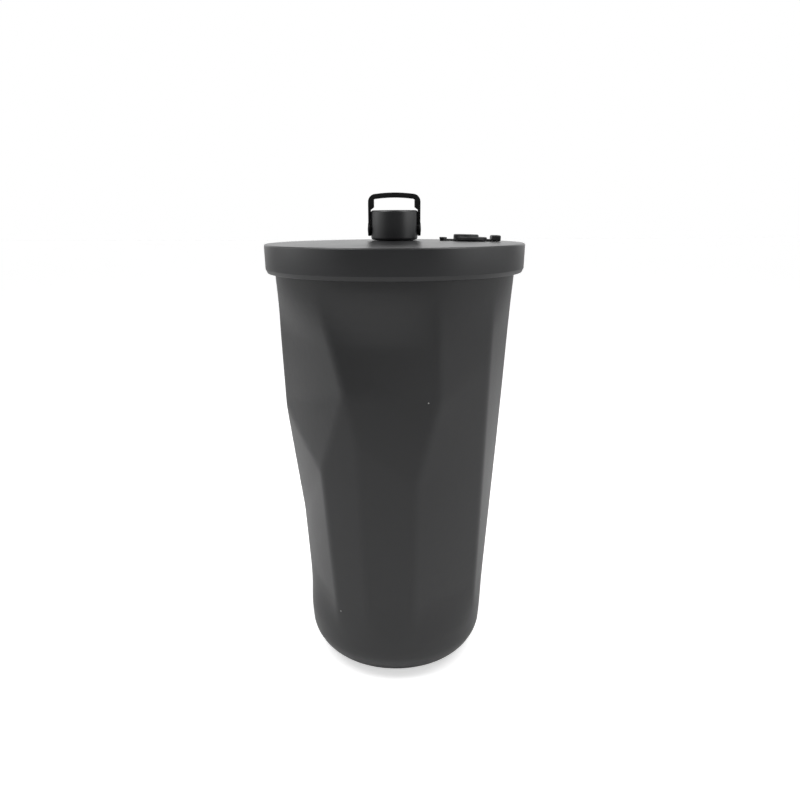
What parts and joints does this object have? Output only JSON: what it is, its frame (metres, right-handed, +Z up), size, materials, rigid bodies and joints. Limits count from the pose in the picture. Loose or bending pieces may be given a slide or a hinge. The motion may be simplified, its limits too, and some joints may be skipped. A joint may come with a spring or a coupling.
{
  "type": "insulated travel tumbler",
  "caption": "Faceted vacuum-walled drinking tumbler with a plug-in lid, a small screw cap with a carry loop over the straw port and a silicone stopper over the sip hole.",
  "frame": {"origin": "centre of the base on the table", "axes": "+Z up along the cup, -Y is the front, +X is towards the sip stopper"},
  "size_m": [0.098, 0.098, 0.1871],
  "materials": {
    "powder_coat": "matte black powder coat with a fine texture",
    "liner_steel": "brushed stainless steel",
    "base_steel": "matte black powder coat",
    "getter_metal": "plain metal",
    "solder_glass": "fused bead",
    "lid_black": "satin moulded black",
    "plug_black": "moulded black",
    "foam": "closed-cell insulating foam",
    "gasket_silicone": "translucent grey silicone",
    "cap_black": "satin moulded black",
    "loop_black": "smooth moulded black",
    "pin_steel": "blackened steel pin",
    "black_silicone": "matte black silicone"
  },
  "bodies": {
    "cup": {"outer_shell": "powder_coat", "inner_liner": "liner_steel", "outer_base": "base_steel", "getter": "getter_metal", "vacuum_bead": "solder_glass", "base_pad": "black_silicone"},
    "lid": {"lid_cover": "lid_black", "lid_plug": "plug_black", "lid_foam": "foam", "lid_gasket": "gasket_silicone", "spout_neck": "plug_black", "neck_gasket": "gasket_silicone", "port_seal": "gasket_silicone", "stopper_anchor": "black_silicone"},
    "cap_carrier": {"cap_seal": "gasket_silicone"},
    "cap": {"screw_cap": "cap_black", "loop_pins": "pin_steel"},
    "loop": {"carry_loop": "loop_black"},
    "stopper": {"sip_stopper": "black_silicone"}
  },
  "joints": [
    {"name": "lid_lift", "type": "slide", "parent": "cup", "child": "lid", "axis": [0, 0, 1], "range_m": [0, 0.06]},
    {"name": "cap_rise", "type": "slide", "parent": "lid", "child": "cap_carrier", "axis": [0, 0, 1], "range_m": [0, 0.0045]},
    {"name": "cap_turn", "type": "hinge", "parent": "cap_carrier", "child": "cap", "pos_m": [0, 0, 0.1757], "axis": [0, 0, 1], "range_deg": [0, 540]},
    {"name": "loop_swing", "type": "hinge", "parent": "cap", "child": "loop", "pos_m": [0, 0, 0.1738], "axis": [1, 0, 0], "range_deg": [-90, 90]},
    {"name": "stopper_flip", "type": "hinge", "parent": "lid", "child": "stopper", "pos_m": [0.0213, 0, 0.1698], "axis": [0, -1, 0], "range_deg": [0, 85]}
  ],
  "couplings": [
    {"joint": "cap_rise", "follows": "cap_turn", "m_per_rad": 0.00047746}
  ]
}
